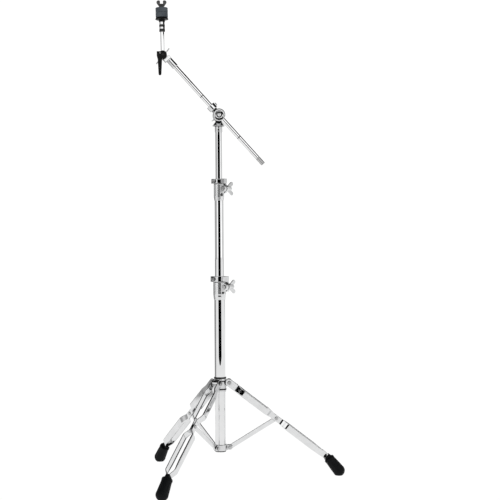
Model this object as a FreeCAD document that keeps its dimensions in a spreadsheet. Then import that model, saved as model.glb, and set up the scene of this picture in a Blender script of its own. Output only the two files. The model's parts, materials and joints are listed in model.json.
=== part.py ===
import FreeCAD, Part
import math
import os
import re
import Sketcher

# Cymbal boom stand: a folding tripod, a three-tube telescopic mast, a tilting boom and a cymbal holder.
# Frame: origin on the mast axis at floor level, +Z up. One leg points along +X, the others at 120 and 240
# degrees. The boom lies in a plane of constant Y in front of the mast, its high end towards -X.

SIZES = {
    # tripod
    "lower_radius": 15.0, "lower_bore": 13.3, "lower_bottom": 77.0, "lower_top": 520.0,
    "cap_flange": 3.0, "cap_spigot": 12.0, "cap_wall": 2.5,
    "hub_radius": 18.5, "hub_bottom": 77.0, "hub_height": 17.0,
    "hub_pivot_radius": 26.6, "hub_pivot_height": 86.0, "hub_ear_radius": 7.5,
    "hub_ear_gap": 3.4, "hub_ear_thick": 3.0, "hub_pin_radius": 2.5, "hub_head_radius": 4.6,
    "hub_head_thick": 2.4,
    "collar_radius": 17.0, "collar_bore": 15.06, "collar_bottom": 242.0, "collar_height": 37.0,
    "bushing_radius": 17.4, "bushing_height": 4.0,
    "leg_pivot_radius": 25.0, "leg_pivot_height": 267.0, "leg_boss_radius": 9.0, "leg_boss_half": 10.0,
    "leg_pin_radius": 3.0, "leg_head_radius": 5.5, "leg_head_thick": 4.0,
    "pin_gap": 0.05, "side_gap": 0.3,
    "leg_angle": 37.8, "leg_reach": 370.0, "strip_thick": 2.0, "strip_tall": 21.0,
    "strip_pinch_tall": 16.0, "strip_tip_tall": 14.0, "strip_taper": 75.0, "boot_hold": 20.0,
    "collar_spread": 11.3, "upper_spread": 17.0, "pinch_spread": 3.3, "lower_spread": 14.4,
    "foot_spread": 4.2,
    "collar_flat": 18.0, "collar_bend": 34.0, "bend_length": 24.0, "pinch_flat": 30.0,
    "brace_pivot_reach": 167.6,
    "brace_tall": 12.6, "brace_thick": 3.0, "rivet_radius": 3.5, "rivet_head": 5.0, "rivet_head_thick": 1.6,
    "foot_circle": 334.0, "foot_angle": 51.0, "foot_radius": 17.0, "foot_ball_height": 14.0,
    "foot_long": 46.0, "foot_neck_radius": 13.8, "foot_rim": 1.5,
    "lock_screw_radius": 3.0, "lock_screw_head": 4.5, "lock_screw_long": 9.0, "lock_screw_rise": 9.0,
    "lock_head_thick": 3.0, "key_wide": 4.4, "key_long": 3.5,
    # lower clamp and middle tube
    "middle_radius": 12.5, "middle_bore": 11.0, "middle_bottom": 346.0, "middle_top": 795.0,
    "low_clamp_bottom": 499.0, "low_clamp_split": 522.0, "low_clamp_top": 549.0, "low_clamp_radius": 17.75,
    "low_ear_reach": 26.0, "low_ear_half": 10.0, "low_ear_radius": 10.0, "low_taper": 16.0,
    "low_lock_height": 16.0, "low_lock_radius": 17.0, "low_lock_screw_reach": 19.3,
    # upper clamp and upper tube
    "upper_radius": 9.5, "upper_bore": 7.8, "upper_bottom": 644.0, "upper_top": 990.0,
    "up_clamp_bottom": 777.0, "up_clamp_split": 797.0, "up_clamp_top": 824.0, "up_clamp_radius": 14.7,
    "up_ear_reach": 21.5, "up_ear_half": 8.5, "up_ear_radius": 9.5, "up_taper": 11.5,
    "up_lock_height": 13.5, "up_lock_radius": 14.2, "up_lock_screw_reach": 16.0,
    # shared by both clamps
    "clamp_lip": 1.5, "clamp_slit": 2.5, "clamp_hem": 0.8, "clamp_chamfer": 1.5, "lip_gap": 0.35,
    "clamp_azimuth": -45.0, "bush_gap": 0.05,
    "bolt_radius": 3.0, "bolt_head_radius": 5.5, "bolt_head_thick": 3.5, "bolt_nose": 1.5,
    "clamp_rivet_radius": 2.0, "clamp_rivet_head": 3.4, "clamp_rivet_thick": 1.2, "rivet_azimuth": -61.0,
    "low_rivet_rise": 19.5, "up_rivet_rise": 15.0, "slot_azimuth": -94.0, "slot_rise": 11.0, "slot_wide": 8.0,
    "slot_tall": 2.6,
    "lock_gap": 0.3, "lock_ear_half": 8.5, "lock_ear_end": 5.5, "lock_nose_half": 6.0,
    "nut_base": 7.2, "nut_nose": 5.2, "nut_long": 17.0, "wing_lobe": 5.8, "wing_thick": 3.2,
    "wing_lift": 20.0, "wing_half_span": 19.2,
    # boom tilter
    "tilt_height": 1014.0, "tilt_ear_radius": 16.5, "tilt_ear_half": 6.0,
    "socket_radius": 10.6, "socket_bottom": 969.0, "skirt_radius": 17.5, "skirt_low": 985.0,
    "skirt_high": 994.5, "socket_top": 996.0, "tilt_neck_wide": 18.0,
    "ratchet_radius": 16.5, "ratchet_thick": 3.0, "tooth_wide": 1.6, "tooth_deep": 4.0,
    "tilter_nut_long": 13.0, "tilter_wing_lift": 12.0, "tilter_wing_half_span": 22.0,
    "boom_offset": 25.0, "drum_radius": 17.6, "drum_thick": 26.0, "stud_radius": 4.0, "stud_rear": 22.0,
    "front_cap_radius": 16.6, "front_cap_thick": 2.6, "cap_boss_radius": 6.2, "cap_boss_thick": 2.4,
    "cap_groove_outer": 13.4, "cap_groove_inner": 11.6, "cap_groove_deep": 1.0, "cap_socket_radius": 3.0,
    "cap_socket_deep": 1.6, "stud_grip": 8.0,
    "boom_radius": 6.35, "boom_bore": 4.9, "boom_angle": 48.0, "boom_up": 199.0, "boom_down": 160.0,
    "grip_long": 24.0, "grip_spigot": 16.0, "boom_gap": 0.05,
    "neck_radius": 8.4, "neck_end": 35.9, "ring_radius": 12.2, "ring_start": 20.3, "ring_lug_half": 5.0,
    "ring_lug_reach": 13.4, "key_screw_radius": 2.6, "key_head_radius": 4.2, "key_head_thick": 2.6,
    # cymbal holder
    "holder_distance": 226.3, "holder_drop": 4.85, "holder_lean": 1.0,
    "fork_radius": 10.5, "fork_gap": 5.4, "fork_thick": 4.4, "fork_web": 11.4, "fork_web_tall": 9.0,
    "fork_web_half": 8.0,
    "fork_socket_radius": 8.6, "fork_socket_long": 36.0,
    "eye_radius": 9.5, "rod_radius": 5.25, "rod_top": 65.4, "post_radius": 4.0, "post_top": 143.0,
    "pivot_bolt_radius": 3.0, "pivot_head_radius": 6.0, "pivot_head_thick": 6.0, "rear_wing_long": 28.6,
    "rear_wing_thick": 3.0, "rear_wing_tall": 8.0, "rear_wing_angle": 50.0,
    "lever_hub_radius": 11.3, "lever_hub_thick": 9.0, "lever_low": 57.0, "lever_thick": 7.0,
    "lever_shift": 8.0, "lever_top_width": 12.5, "lever_tip_width": 8.0, "lever_gap": 0.4,
    "seat_radius": 8.0, "seat_band_radius": 7.0, "seat_long": 27.0,
    "cup_neck_radius": 8.5, "cup_bottom": 92.4, "cup_web": 100.2, "cup_radius": 18.0, "cup_top": 105.0,
    "cup_edge_low": 98.8,
    "liner_radius": 5.6, "felt_radius": 17.0, "felt_thick": 13.4, "felt_gap": 0.1, "felt_edge": 0.8,
    "top_nut_rise": 0.6, "top_nut_long": 10.0, "top_wing_half_span": 14.0, "top_wing_lift": 14.5,
}

doc = FreeCAD.newDocument("cymbal_boom_stand")
sheet = doc.addObject("Spreadsheet::Sheet", "Sizes")
for row, (alias, number) in enumerate(SIZES.items(), start=1):
    sheet.set("A%d" % row, alias.replace("_", " "))
    sheet.set("B%d" % row, str(number))
    sheet.setAlias("B%d" % row, alias)
doc.recompute()

X = FreeCAD.Vector(1, 0, 0)
Y = FreeCAD.Vector(0, 1, 0)
Z = FreeCAD.Vector(0, 0, 1)
TO_PLUS_X = FreeCAD.Rotation(Y, 90)
TO_PLUS_Y = FreeCAD.Rotation(X, -90)
LEG_AZIMUTHS = {"right": 0, "back": 120, "left": 240}
RATCHET_TEETH = 24
sub_parts = []


def size(alias):
    """One driving dimension, read from the sheet."""
    return float(sheet.get(alias))


def bind(text):
    """An expression of plain size names, written so that it reads the sheet."""
    return re.sub(r"[a-z_]{3,}", lambda match: "Sizes." + match.group(0), str(text))


def drive(item, **sizes):
    """Bind properties of an object to expressions of size names."""
    for name, text in sizes.items():
        item.setExpression(name, bind(text))
    return item


def place(item, at=("0", "0", "0"), turn=None):
    """Turn an object, then bind its position to expressions."""
    if turn is not None:
        item.Placement = FreeCAD.Placement(FreeCAD.Vector(), turn)
    for axis, text in zip("xyz", at):
        if text != "0":
            item.setExpression("Placement.Base." + axis, bind(text))
    return item


def cylinder(radius, height, at=("0", "0", "0"), turn=None):
    item = doc.addObject("Part::Cylinder", "Cylinder")
    drive(item, Radius=radius, Height=height)
    return place(item, at, turn)


def block(long, wide, tall, at=("0", "0", "0"), turn=None):
    item = doc.addObject("Part::Box", "Block")
    drive(item, Length=long, Width=wide, Height=tall)
    return place(item, at, turn)


def fuse(*items):
    joined = doc.addObject("Part::MultiFuse", "Joined")
    joined.Shapes = list(items)
    return joined


def spun(item, azimuth):
    """Carry an object round the mast axis."""
    carrier = doc.addObject("Part::Compound", "Carrier")
    carrier.Links = [item]
    carrier.Placement = FreeCAD.Placement(FreeCAD.Vector(), FreeCAD.Rotation(Z, azimuth))
    return carrier


def cut(base, *tools):
    result = base
    for tool in tools:
        step = doc.addObject("Part::Cut", "Cut")
        step.Base = result
        step.Tool = tool
        result = step
    return result


def keep(item, label, at=("0", "0", "0"), turn=None):
    """Name an object as one of the stand's pieces and put it in its place."""
    item.Label = label
    place(item, at, turn)
    sub_parts.append(item)
    return item


def origin_plane(body, role):
    return next(plane for plane in body.Origin.OriginFeatures if plane.Role == role)


def turned(profile):
    """A body turned about its own Z axis from (radius, height) corners given as expressions."""
    body = doc.addObject("PartDesign::Body", "Turned")
    sketch = body.newObject("Sketcher::SketchObject", "Profile")
    sketch.AttachmentSupport = [(origin_plane(body, "XZ_Plane"), "")]
    sketch.MapMode = "FlatFace"
    corners = [FreeCAD.Vector(evaluate(radius), evaluate(height), 0) for radius, height in profile]
    count = len(corners)
    for index in range(count):
        sketch.addGeometry(Part.LineSegment(corners[index], corners[(index + 1) % count]), False)
    for index in range(count):
        sketch.addConstraint(Sketcher.Constraint("Coincident", index, 2, (index + 1) % count, 1))
    for index, (radius, height) in enumerate(profile):
        pin_coordinate(sketch, index, radius, "DistanceX", -2)
        pin_coordinate(sketch, index, height, "DistanceY", -1)
    turn = body.newObject("PartDesign::Revolution", "Turn")
    turn.Profile = sketch
    turn.ReferenceAxis = (sketch, ["V_Axis"])
    turn.Angle = 360.0
    sketch.Visibility = False
    return body


def evaluate(text):
    """The number that a plain sum or difference of size names, numbers and products stands for."""
    total = 0.0
    for sign, term in re.findall(r"([+-]?)\s*([^+\-]+)", text):
        product = 1.0
        for factor in term.split("*"):
            factor = factor.strip()
            product *= size(factor) if factor[0].isalpha() else float(factor)
        total += -product if sign == "-" else product
    return total


def pin_coordinate(sketch, index, text, kind, axis):
    """Hold one coordinate of a corner: on the axis where it is zero, else at a bound distance."""
    if evaluate(text) == 0.0:
        sketch.addConstraint(Sketcher.Constraint("PointOnObject", index, 1, axis))
        return
    number = sketch.addConstraint(Sketcher.Constraint(kind, -1, 1, index, 1, evaluate(text)))
    sketch.setExpression("Constraints[%d]" % number, bind(text))


def ring_profile(inner, outer, height):
    return [(inner, "0"), (outer, "0"), (outer, height), (inner, height)]


def tube(label, inner, outer, bottom, top):
    """A plain tube between two heights on the mast axis."""
    body = turned(ring_profile(inner, outer, top + " - " + bottom))
    return keep(body, label, ("0", "0", bottom))


def solid(label, shape, at=("0", "0", "0"), turn=None):
    """A piece whose formed shape no primitive or sketch gives directly."""
    item = doc.addObject("Part::Feature", "Formed")
    item.Shape = shape
    return keep(item, label, at, turn)


# ---- mast tubes ----------------------------------------------------------------------------------

def build_mast_tubes():
    tube("lower_tube", "lower_bore", "lower_radius", "lower_bottom", "lower_top")
    tube("middle_tube", "middle_bore", "middle_radius", "middle_bottom", "middle_top")
    tube("upper_tube", "upper_bore", "upper_radius", "upper_bottom", "upper_top")
    spigot_top = "cap_flange + cap_spigot"
    inner = "lower_bore - cap_wall"
    cap = turned([("0", "0"), ("lower_radius", "0"), ("lower_radius", "cap_flange"),
                  ("lower_bore", "cap_flange"), ("lower_bore", spigot_top), (inner, spigot_top),
                  (inner, "cap_flange"), ("0", "cap_flange")])
    keep(cap, "tube_end_cap", ("0", "0", "lower_bottom - cap_flange"))


# ---- tripod --------------------------------------------------------------------------------------

def headed_pin(radius, reach, head_radius, head_thick):
    """A pin along Y, half length reach, with a hexagonal head outside each end."""
    parts = [Part.makeCylinder(radius, 2 * reach, FreeCAD.Vector(0, -reach, 0), Y)]
    for side in (-1, 1):
        corners = [FreeCAD.Vector(head_radius * math.cos(math.radians(60 * k)), side * reach,
                                  head_radius * math.sin(math.radians(60 * k))) for k in range(7)]
        hexagon = Part.Face(Part.makePolygon(corners))
        parts.append(hexagon.extrude(FreeCAD.Vector(0, side * head_thick, 0)))
    return parts[0].fuse(parts[1:]).removeSplitter()


def around_mast(shape, radius, height):
    """The same shape at all three legs, set out from the mast axis."""
    copies = []
    for azimuth in LEG_AZIMUTHS.values():
        copy = shape.copy()
        copy.Placement = FreeCAD.Placement(FreeCAD.Vector(radius, 0, height), FreeCAD.Rotation())
        turned_copy = FreeCAD.Placement(FreeCAD.Vector(), FreeCAD.Rotation(Z, azimuth))
        copy.Placement = turned_copy.multiply(copy.Placement)
        copies.append(copy)
    return Part.makeCompound(copies)


def build_hub():
    ring = place(turned(ring_profile("lower_radius", "hub_radius", "hub_height")), ("0", "0", "hub_bottom"))
    parts = [ring]
    holes = []
    for azimuth in LEG_AZIMUTHS.values():
        ears = []
        for side in ("hub_ear_gap * 0.5", "0 - hub_ear_gap * 0.5 - hub_ear_thick"):
            plate = block("hub_pivot_radius - lower_radius - 1", "hub_ear_thick", "2 * hub_ear_radius",
                          ("lower_radius + 1", side, "hub_pivot_height - hub_ear_radius"))
            end = cylinder("hub_ear_radius", "hub_ear_thick", ("hub_pivot_radius", side, "hub_pivot_height"),
                           TO_PLUS_Y)
            ears += [plate, end]
        parts.append(spun(fuse(*ears), azimuth))
        hole = cylinder("hub_pin_radius", "40", ("hub_pivot_radius", "0 - 20", "hub_pivot_height"), TO_PLUS_Y)
        holes.append(spun(hole, azimuth))
    bore = cylinder("lower_radius", "2 * hub_height", ("0", "0", "hub_bottom - 5"))
    keep(cut(fuse(*parts), bore, *holes), "brace_hub")
    reach = size("hub_ear_gap") / 2 + size("hub_ear_thick")
    pin = headed_pin(size("hub_pin_radius"), reach, size("hub_head_radius"), size("hub_head_thick"))
    solid("hub_pivot_bolts", around_mast(pin, size("hub_pivot_radius"), size("hub_pivot_height")))


def build_collar():
    parts = [place(turned(ring_profile("collar_bore", "collar_radius", "collar_height")),
                   ("0", "0", "collar_bottom"))]
    holes = [cylinder("collar_bore", "2 * collar_height", ("0", "0", "collar_bottom - 5"))]
    for azimuth in LEG_AZIMUTHS.values():
        arm = block("leg_pivot_radius - collar_bore", "2 * leg_boss_half", "2 * leg_boss_radius",
                    ("collar_bore", "0 - leg_boss_half", "leg_pivot_height - leg_boss_radius"))
        end = cylinder("leg_boss_radius", "2 * leg_boss_half",
                       ("leg_pivot_radius", "0 - leg_boss_half", "leg_pivot_height"), TO_PLUS_Y)
        parts.append(spun(fuse(arm, end), azimuth))
        hole = cylinder("leg_pin_radius", "60", ("leg_pivot_radius", "0 - 30", "leg_pivot_height"), TO_PLUS_Y)
        holes.append(spun(hole, azimuth))
    screw_azimuth = -30
    screw_hole = cylinder("lock_screw_radius", "20",
                          ("0", "collar_bore - 4", "collar_bottom + lock_screw_rise"), TO_PLUS_Y)
    holes.append(spun(screw_hole, screw_azimuth))
    keep(cut(fuse(*parts), *holes), "leg_collar")
    bushing = turned(ring_profile("collar_bore", "bushing_radius", "bushing_height"))
    keep(bushing, "collar_bushing", ("0", "0", "collar_bottom + collar_height"))
    reach = size("collar_spread") + size("strip_thick") / 2 + 0.2
    pin = headed_pin(size("leg_pin_radius"), reach, size("leg_head_radius"), size("leg_head_thick"))
    solid("leg_pivot_bolts", around_mast(pin, size("leg_pivot_radius"), size("leg_pivot_height")))
    start = size("collar_bore")
    shaft = Part.makeCylinder(size("lock_screw_radius"), size("lock_screw_long"), Y * start, Y)
    head_at = start + 3.0
    head = Part.makeCylinder(size("lock_screw_head"), size("lock_head_thick"), Y * head_at, Y)
    screw = shaft.fuse([head, square_key(head_at + size("lock_head_thick"), 1)]).removeSplitter()
    solid("collar_lock_screw", screw, ("0", "0", "collar_bottom + lock_screw_rise"),
          FreeCAD.Rotation(Z, screw_azimuth))


def square_key(start, direction):
    """The square end of a drum-key screw, along Y from the face of its head."""
    wide = size("key_wide")
    long = size("key_long")
    near = min(start, start + direction * long)
    return Part.makeBox(wide, long, wide, FreeCAD.Vector(-wide / 2, near, -wide / 2))


def strip_side(station):
    """Half distance between a leg's two strips at a distance along the leg from its pivot."""
    bend = size("bend_length")
    flat = size("pinch_flat") / 2
    pivot = size("brace_pivot_reach")
    start = size("collar_flat")
    boot = size("leg_reach") - size("boot_hold")
    levels = [(0.0, "collar_spread"), (start, "collar_spread"), (start + size("collar_bend"), "upper_spread"),
              (pivot - flat - bend, "upper_spread"), (pivot - flat, "pinch_spread"),
              (pivot + flat, "pinch_spread"), (pivot + flat + bend, "lower_spread"),
              (boot - bend, "lower_spread"), (boot, "foot_spread"), (size("leg_reach"), "foot_spread")]
    for (start, first), (end, second) in zip(levels, levels[1:]):
        if station <= end:
            share = (station - start) / (end - start) if end > start else 0.0
            blend = 0.5 - 0.5 * math.cos(math.pi * max(share, 0.0))
            return size(first) + (size(second) - size(first)) * blend
    return size("foot_spread")


def strip_outline(grow):
    """Side view of a strip, drawn through the whole leg: lower at the pinch, tapering towards the boot."""
    full = size("strip_tall") / 2 + grow
    low = size("strip_pinch_tall") / 2 + grow
    tip = size("strip_tip_tall") / 2 + grow
    bend = size("bend_length")
    flat = size("pinch_flat") / 2
    pivot = size("brace_pivot_reach")
    end = size("leg_reach") + grow
    stations = [(0.0, full), (pivot - flat - bend, full), (pivot - flat, low), (pivot + flat, low),
                (pivot + flat + bend, full), (end - size("strip_taper"), full), (end, tip)]
    corners = [FreeCAD.Vector(along, -30, half) for along, half in stations]
    corners += [FreeCAD.Vector(along, -30, -half) for along, half in reversed(stations)]
    return Part.Face(Part.makePolygon(corners + corners[:1])).extrude(FreeCAD.Vector(0, 60, 0))


def strip_shape(side):
    """One pressed leg strip in the leg's own frame: X along the leg from its pivot, Y across, Z up."""
    near_end = -size("strip_tall") / 2
    far_end = size("leg_reach")
    count = 72
    stations = [near_end + (far_end - near_end) * k / count for k in range(count + 1)]
    half = size("strip_thick") / 2
    edges = []
    for offset in (-half, half):
        line = [FreeCAD.Vector(along, side * (strip_side(max(along, 0.0)) + offset), 0) for along in stations]
        curve = Part.BSplineCurve()
        curve.interpolate(line)
        edges.append(curve.toShape())
    near, far = edges
    tip = Part.makeLine(near.valueAt(near.LastParameter), far.valueAt(far.LastParameter))
    root = Part.makeLine(far.valueAt(far.FirstParameter), near.valueAt(near.FirstParameter))
    outline = Part.Wire(Part.__sortEdges__([near, tip, far, root]))
    tall = size("strip_tall")
    plate = Part.Face(outline).extrude(FreeCAD.Vector(0, 0, tall))
    plate.translate(FreeCAD.Vector(0, 0, -tall / 2))
    rounded = Part.makeCylinder(tall / 2, 60, FreeCAD.Vector(0, -30, 0), Y)
    plate = plate.common(rounded.fuse(strip_outline(0.0)).removeSplitter())
    pivot_hole = Part.makeCylinder(size("leg_pin_radius") + size("pin_gap"), 60, FreeCAD.Vector(0, -30, 0), Y)
    rivet_at = FreeCAD.Vector(size("brace_pivot_reach"), -30, 0)
    rivet_hole = Part.makeCylinder(size("rivet_radius"), 60, rivet_at, Y)
    return plate.cut([pivot_hole, rivet_hole])


def leg_placement(azimuth):
    """Leg frame in the row: from the pivot on the collar, sloping down and out."""
    out = FreeCAD.Placement(FreeCAD.Vector(size("leg_pivot_radius"), 0, size("leg_pivot_height")),
                            FreeCAD.Rotation(Y, size("leg_angle")))
    return FreeCAD.Placement(FreeCAD.Vector(), FreeCAD.Rotation(Z, azimuth)).multiply(out)


def rivet_pair():
    """Two rivet halves that hold the brace pivot, one in each strip, clear of the brace between them."""
    inner = size("pinch_spread") - size("strip_thick") / 2
    outer = size("pinch_spread") + size("strip_thick") / 2
    along = size("brace_pivot_reach")
    halves = []
    for side in (-1, 1):
        direction = FreeCAD.Vector(0, side, 0)
        shaft = Part.makeCylinder(size("rivet_radius"), outer - inner, FreeCAD.Vector(along, side * inner, 0),
                                  direction)
        head = Part.makeCylinder(size("rivet_head"), size("rivet_head_thick"),
                                 FreeCAD.Vector(along, side * outer, 0), direction)
        rim = [edge for edge in head.Edges if abs(edge.CenterOfMass.y) > outer + 1.0 and edge.Closed]
        halves.append(shaft.fuse(head.makeFillet(0.9, rim)).removeSplitter())
    return Part.makeCompound(halves)


def brace_point():
    """Radius and height of the pivot where a brace meets its leg."""
    slope = math.radians(size("leg_angle"))
    reach = size("brace_pivot_reach")
    out = size("leg_pivot_radius") + reach * math.cos(slope)
    return out, size("leg_pivot_height") - reach * math.sin(slope)


def brace_run():
    """Level and upright distance from the hub pivot to the brace's pivot on its leg."""
    radius, height = brace_point()
    return radius - size("hub_pivot_radius"), height - size("hub_pivot_height")


def brace_shape():
    """Flat strap along X from its hub pivot to its leg pivot."""
    length = math.hypot(*brace_run())
    tall = size("brace_tall")
    thick = size("brace_thick")
    base = FreeCAD.Vector(0, -thick / 2, 0)
    parts = [Part.makeBox(length, thick, tall, FreeCAD.Vector(0, -thick / 2, -tall / 2)),
             Part.makeCylinder(tall / 2, thick, base, Y),
             Part.makeCylinder(tall / 2, thick, base + FreeCAD.Vector(length, 0, 0), Y)]
    strap = parts[0].fuse(parts[1:]).removeSplitter()
    hub_hole = Part.makeCylinder(size("hub_pin_radius") + size("pin_gap"), 20, FreeCAD.Vector(0, -10, 0), Y)
    tip_hole = Part.makeCylinder(size("rivet_radius"), 20, FreeCAD.Vector(length, -10, 0), Y)
    return strap.cut([hub_hole, tip_hole])


def brace_placement(azimuth):
    """Brace frame in the row: from the hub pivot, rising to the leg."""
    run, rise = brace_run()
    out = FreeCAD.Placement(FreeCAD.Vector(size("hub_pivot_radius"), 0, size("hub_pivot_height")),
                            FreeCAD.Rotation(Y, -math.degrees(math.atan2(rise, run))))
    return FreeCAD.Placement(FreeCAD.Vector(), FreeCAD.Rotation(Z, azimuth)).multiply(out)


def foot_shape():
    """Rubber boot in the plane of the right leg: steeper than the leg, round-ended, with a flat sole."""
    slope = math.radians(size("foot_angle"))
    ball = FreeCAD.Vector(size("foot_circle"), 0, size("foot_ball_height"))
    up = FreeCAD.Vector(-math.cos(slope), 0, math.sin(slope))
    body = Part.makeCone(size("foot_radius"), size("foot_neck_radius"), size("foot_long"), ball, up)
    half_long = size("foot_long") / 2
    rim = [edge for edge in body.Edges if edge.Closed and (edge.CenterOfMass - ball).Length > half_long]
    body = body.makeFillet(size("foot_rim"), rim)
    boot = body.fuse(Part.makeSphere(size("foot_radius"), ball)).removeSplitter()
    floor = Part.makeBox(80, 80, 20, FreeCAD.Vector(ball.x - 40, -40, -20))
    half = size("foot_spread") + size("strip_thick") / 2 + size("pin_gap")
    pocket = strip_outline(size("pin_gap")).common(
        Part.makeBox(120, 2 * half, 60, FreeCAD.Vector(size("leg_reach") - 100, -half, -30)))
    pocket.Placement = leg_placement(0)
    return boot.cut([floor, pocket])


def build_legs():
    sides = {"a": -1, "b": 1}
    for name, azimuth in LEG_AZIMUTHS.items():
        spin = FreeCAD.Rotation(Z, azimuth)
        for letter, side in sides.items():
            strip = solid("%s_leg_strip_%s" % (name, letter), strip_shape(side))
            strip.Placement = leg_placement(azimuth)
        rivets = solid("%s_leg_rivets" % name, rivet_pair())
        rivets.Placement = leg_placement(azimuth)
        solid("%s_brace" % name, brace_shape()).Placement = brace_placement(azimuth)
        solid("%s_foot" % name, foot_shape()).Placement = FreeCAD.Placement(FreeCAD.Vector(), spin)


# ---- clamps, memory locks and wing nuts ----------------------------------------------------------

def build_clamp(label, key, outer, inner, windows=()):
    """Die-cast clamp: a barrel on the outer tube and a split collar with two ears round the inner tube."""
    bottom = key + "_clamp_bottom"
    tall = key + "_clamp_top - " + bottom
    radius = key + "_clamp_radius"
    opening = inner + " + lip_gap"
    lip = tall + " - clamp_lip"
    barrel = turned([(outer, "0"), (outer + " + clamp_hem", "0"), (radius, key + "_taper"),
                     (radius, tall + " - clamp_chamfer"), (radius + " - clamp_chamfer", tall),
                     (opening, tall), (opening, lip), (outer, lip)])
    split_at = key + "_clamp_split - " + bottom
    ear_tall = key + "_clamp_top - " + key + "_clamp_split"
    reach = key + "_ear_reach"
    half = key + "_ear_half"
    middle = key + "_clamp_split * 0.5 + " + key + "_clamp_top * 0.5 - " + bottom
    block_ear = block(reach + " - 6", "2 * " + half, ear_tall, ("6", "0 - " + half, split_at))
    round_ear = cylinder(key + "_ear_radius", "2 * " + half, (reach, "0 - " + half, middle), TO_PLUS_Y)
    bore = cylinder(outer, tall + " - clamp_lip")
    top_bore = cylinder(opening, tall)
    slit = block("60", "clamp_slit", ear_tall + " + 20", (inner, "0 - clamp_slit * 0.5", split_at))
    bolt_hole = cylinder("bolt_radius", "80", (reach, "0 - 40", middle), TO_PLUS_Y)
    rivet_hole = spun(cylinder("clamp_rivet_radius", "40", ("0", "0", key + "_rivet_rise"), TO_PLUS_X),
                      size("rivet_azimuth") - size("clamp_azimuth"))
    body = cut(fuse(barrel, block_ear, round_ear), bore, top_bore, slit, bolt_hole, rivet_hole, *windows)
    keep(body, label, ("0", "0", bottom), FreeCAD.Rotation(Z, size("clamp_azimuth")))


def clamp_window():
    """Short level slot through the wall of the lower clamp's barrel."""
    opening = block("40", "slot_wide", "slot_tall",
                    ("0", "0 - slot_wide * 0.5", "slot_rise - slot_tall * 0.5"))
    return spun(opening, size("slot_azimuth") - size("clamp_azimuth"))


def build_clamp_rivet(label, key, outer):
    """Rivet through the wall of a clamp's barrel, its round head outside."""
    face = size(key + "_clamp_radius")
    height = FreeCAD.Vector(0, 0, size(key + "_rivet_rise"))
    shaft = Part.makeCylinder(size("clamp_rivet_radius"), face - size(outer), height + X * size(outer), X)
    head = Part.makeCylinder(size("clamp_rivet_head"), size("clamp_rivet_thick"), height + X * face, X)
    rim = [edge for edge in head.Edges if edge.Closed and edge.CenterOfMass.x > face + 1]
    rivet = shaft.fuse(head.makeFillet(0.7, rim)).removeSplitter()
    solid(label, rivet, ("0", "0", key + "_clamp_bottom"), FreeCAD.Rotation(Z, size("rivet_azimuth")))


def build_clamp_insides(label, key, outer, inner, outer_top):
    """Nylon bushing in the clamp, between the end of the outer tube and the clamp's top lip."""
    height = key + "_clamp_top - clamp_lip - " + outer_top
    bushing = turned(ring_profile(inner + " + bush_gap", outer, height))
    keep(bushing, label, ("0", "0", outer_top))


def clamp_point(key, along):
    """A point on a clamp's bolt axis, at a distance towards the wing nut from the middle of the slit."""
    angle = math.radians(size("clamp_azimuth"))
    reach = size(key + "_ear_reach")
    height = (size(key + "_clamp_split") + size(key + "_clamp_top")) / 2
    return FreeCAD.Vector(reach * math.cos(angle) - along * math.sin(angle),
                          reach * math.sin(angle) + along * math.cos(angle), height)


def build_clamp_bolt(label, key):
    half = size(key + "_ear_half")
    nose = half + size("side_gap") + size("nut_long") + size("bolt_nose")
    radius = size("bolt_radius")
    front = FreeCAD.Vector(0, -half, 0)
    shaft = Part.makeCylinder(radius, half + nose, front, Y)
    head = Part.makeCylinder(size("bolt_head_radius"), size("bolt_head_thick"), front, Y * -1)
    rim = [edge for edge in head.Edges if edge.Closed and edge.CenterOfMass.y < -half - 1]
    bolt = solid(label, shaft.fuse(head.makeFillet(1.2, rim)).removeSplitter())
    bolt.Placement = FreeCAD.Placement(clamp_point(key, 0), FreeCAD.Rotation(Z, size("clamp_azimuth")))


def wing_nut_shape(long, half_span, lift, bore):
    """Wing nut along +Z: a tapered hub with two round-ended wings that flare away from its base."""
    base = size("nut_base")
    nose = size("nut_nose")
    lobe = size("wing_lobe")
    thick = size("wing_thick")
    hub = Part.makeCone(base, nose, long)
    parts = []
    for side in (-1, 1):
        centre = FreeCAD.Vector(side * (half_span - lobe), -thick / 2, lift)
        tip = Part.makeCylinder(lobe, thick, centre, Y)
        middle = half_span - lobe
        outline = [(0, 1.5), (base - 1.0, 1.5), (middle + lobe * 0.8, lift - lobe * 0.6),
                   (middle - lobe * 0.5, lift + lobe * 0.86), (nose - 1.5, long - 1.0), (0, long - 1.0),
                   (0, 1.5)]
        corners = [FreeCAD.Vector(side * across, -thick / 2, up) for across, up in outline]
        web = Part.Face(Part.makePolygon(corners)).extrude(FreeCAD.Vector(0, thick, 0))
        parts += [tip, web]
    nut = hub.fuse(parts).removeSplitter()
    return nut.cut(Part.makeCylinder(bore + size("pin_gap"), 4 * long, FreeCAD.Vector(0, 0, -long)))


def build_wing_nut(label, key):
    """Wing nut on a clamp's bolt, its wings upright."""
    shape = wing_nut_shape(size("nut_long"), size("wing_half_span"), size("wing_lift"), size("bolt_radius"))
    nut = solid(label, shape)
    point = clamp_point(key, size(key + "_ear_half") + size("side_gap"))
    towards = FreeCAD.Rotation(Z, size("clamp_azimuth")).multiply(TO_PLUS_Y)
    upright = FreeCAD.Rotation(Z, 90)
    nut.Placement = FreeCAD.Placement(point, towards.multiply(upright))


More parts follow.
